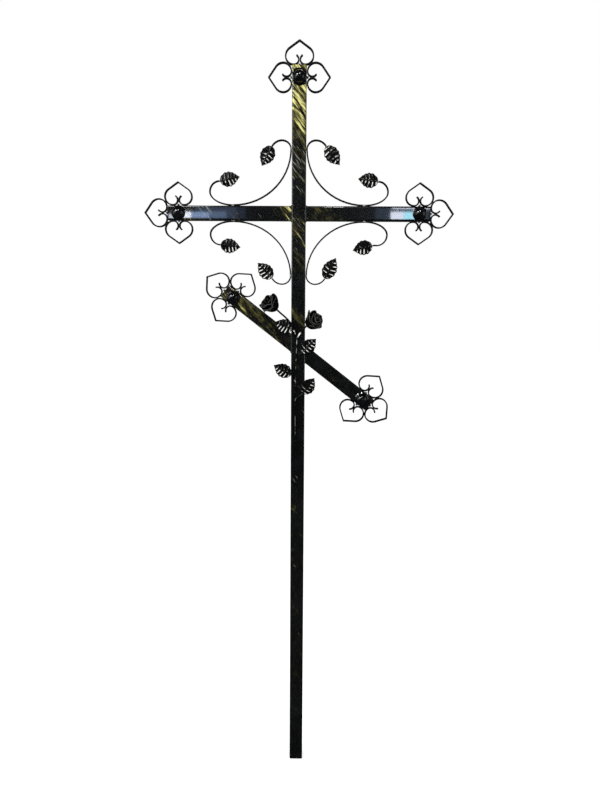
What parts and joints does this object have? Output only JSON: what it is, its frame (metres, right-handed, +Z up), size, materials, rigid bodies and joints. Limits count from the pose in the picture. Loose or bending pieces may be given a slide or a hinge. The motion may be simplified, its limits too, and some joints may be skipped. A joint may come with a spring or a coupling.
{
  "type": "grave cross",
  "caption": "Tall welded steel grave cross with a level crossbar and a slanted lower bar, strip hearts and domes at its ends, scrolls with leaves, and a rose sprig on the post.",
  "frame": {"origin": "middle of the underside of the post, where the cross is set in the ground", "axes": "+Z up along the post, -Y out of the front, +X towards the right end of the crossbar as seen from the front"},
  "size_m": [0.8728, 0.0959, 2.1564],
  "materials": {
    "tube_paint": "glossy black enamel with pale gold patina brushed over it in slanting strokes",
    "strip_paint": "glossy black enamel",
    "dome_paint": "polished black enamel",
    "leaf_paint": "black enamel with silver patina rubbed on the ribs",
    "rose_paint": "satin black enamel"
  },
  "bodies": {
    "root": {"foot_plate": "tube_paint", "post": "tube_paint", "crossbar_left": "tube_paint", "crossbar_right": "tube_paint", "footrest_left": "tube_paint", "footrest_right": "tube_paint", "heart_top_end": "strip_paint", "heart_top_right": "strip_paint", "heart_top_left": "strip_paint", "dome_top": "dome_paint", "heart_left_end": "strip_paint", "heart_left_upper": "strip_paint", "heart_left_lower": "strip_paint", "dome_left": "dome_paint", "heart_right_end": "strip_paint", "heart_right_lower": "strip_paint", "heart_right_upper": "strip_paint", "dome_right": "dome_paint", "heart_footrest_left_end": "strip_paint", "heart_footrest_left_upper": "strip_paint", "heart_footrest_left_lower": "strip_paint", "dome_footrest_left": "dome_paint", "heart_footrest_right_end": "strip_paint", "heart_footrest_right_lower": "strip_paint", "heart_footrest_right_upper": "strip_paint", "dome_footrest_right": "dome_paint", "scroll_upper_left": "strip_paint", "leaf_upper_left_bar": "leaf_paint", "leaf_upper_left_post": "leaf_paint", "scroll_upper_right": "strip_paint", "leaf_upper_right_bar": "leaf_paint", "leaf_upper_right_post": "leaf_paint", "scroll_lower_left": "strip_paint", "leaf_lower_left_bar": "leaf_paint", "leaf_lower_left_post": "leaf_paint", "scroll_lower_right": "strip_paint", "leaf_lower_right_bar": "leaf_paint", "leaf_lower_right_post": "leaf_paint", "rose_stem": "leaf_paint", "rose_left": "rose_paint", "rose_right": "rose_paint", "rose_leaf_upper_left": "leaf_paint", "rose_leaf_upper_right": "leaf_paint", "rose_leaf_middle_left": "leaf_paint", "rose_leaf_lower_right": "leaf_paint"}
  },
  "joints": []
}
